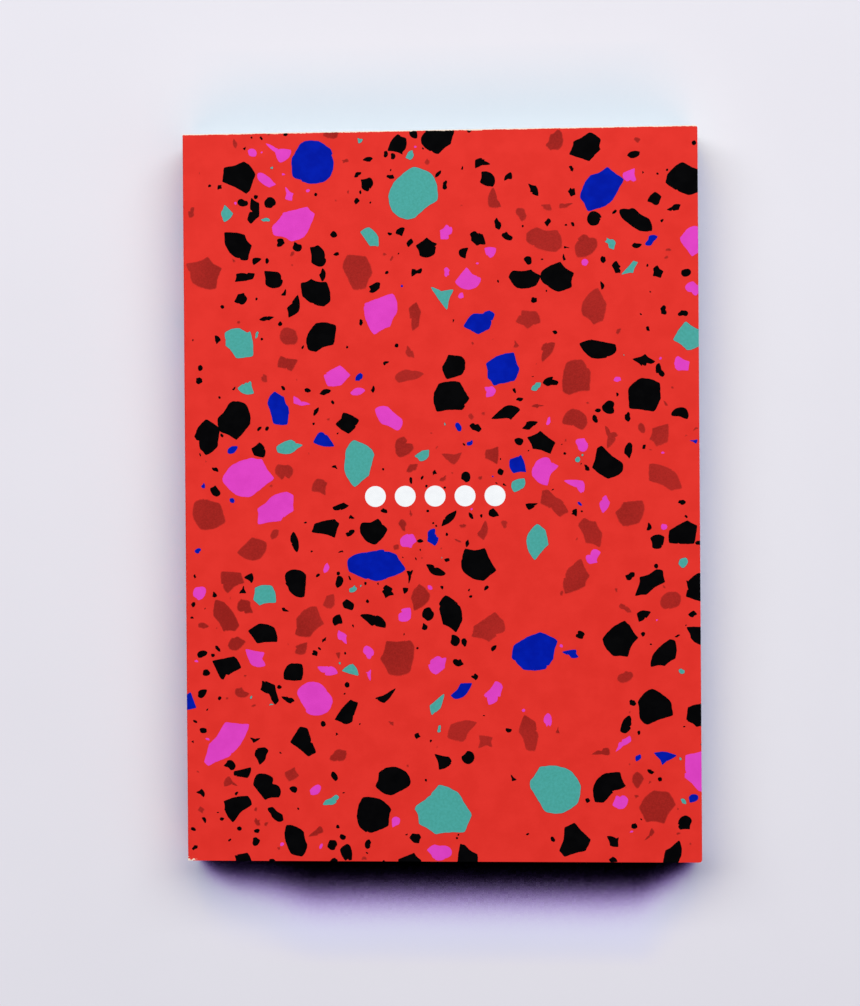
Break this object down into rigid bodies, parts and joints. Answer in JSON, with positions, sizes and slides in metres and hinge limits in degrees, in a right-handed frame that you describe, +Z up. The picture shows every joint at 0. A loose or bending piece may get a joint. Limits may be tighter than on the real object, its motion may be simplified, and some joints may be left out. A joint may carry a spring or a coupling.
{
  "type": "softcover notebook",
  "caption": "Closed A5 softcover notebook: sewn block of blank leaves in a wraparound card cover with a red terrazzo print and a row of plain white dots; both covers open.",
  "frame": {"origin": "middle of the closed book's footprint, on the surface that its back cover lies on", "axes": "+X from the spine to the fore-edge, +Y from the foot to the head, +Z up, out of the front cover"},
  "size_m": [0.148, 0.21, 0.0139],
  "materials": {
    "paper": "matte",
    "thread": "matte",
    "glue": "satin",
    "card": "matte",
    "red_ink": "matte",
    "black_ink": "matte",
    "pink_ink": "matte",
    "teal_ink": "matte",
    "blue_ink": "matte",
    "dark_red_ink": "matte",
    "white_ink": "matte"
  },
  "bodies": {
    "block": {"page_block": "paper", "sewing_thread": "thread", "spine_glue": "glue", "spine_card": "card", "spine_red": "red_ink", "spine_black": "black_ink", "spine_pink": "pink_ink", "spine_teal": "teal_ink", "spine_blue": "blue_ink", "spine_dark_red": "dark_red_ink"},
    "front_cover": {"front_card": "card", "front_red": "red_ink", "front_black": "black_ink", "front_pink": "pink_ink", "front_teal": "teal_ink", "front_blue": "blue_ink", "front_dark_red": "dark_red_ink", "front_dots": "white_ink"},
    "back_cover": {"back_card": "card", "back_red": "red_ink", "back_black": "black_ink", "back_pink": "pink_ink", "back_teal": "teal_ink", "back_blue": "blue_ink", "back_dark_red": "dark_red_ink"}
  },
  "joints": [
    {"name": "front_cover_hinge", "type": "hinge", "parent": "block", "child": "front_cover", "pos_m": [-0.067, 0, 0.01386], "axis": [0, -1, 0], "range_deg": [0, 180]},
    {"name": "back_cover_hinge", "type": "hinge", "parent": "block", "child": "back_cover", "pos_m": [-0.067, 0, 0], "axis": [0, 1, 0], "range_deg": [0, 180]}
  ]
}
